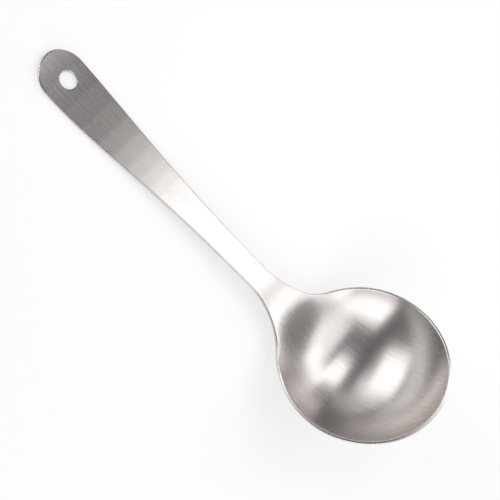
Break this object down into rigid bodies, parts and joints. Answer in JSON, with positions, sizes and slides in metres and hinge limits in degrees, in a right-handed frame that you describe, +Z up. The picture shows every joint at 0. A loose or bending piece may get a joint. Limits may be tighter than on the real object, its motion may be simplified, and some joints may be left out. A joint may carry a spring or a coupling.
{
  "type": "serving spoon",
  "caption": "Round, deep serving spoon pressed from one sheet of brushed steel, with a slim raised handle that widens to a rounded end with a hang hole.",
  "frame": {"origin": "on the table, under the middle of the spoon's box, as it lies at rest", "axes": "+X from the bowl towards the end of the handle, +Z up from the table, Y across the spoon, which is the same on both sides of its centre line"},
  "size_m": [0.2248, 0.0776, 0.0486],
  "materials": {
    "spoon_steel": "satin-brushed stainless steel, with fine lines along the spoon"
  },
  "bodies": {
    "root": {"serving_spoon": "spoon_steel"}
  },
  "joints": []
}
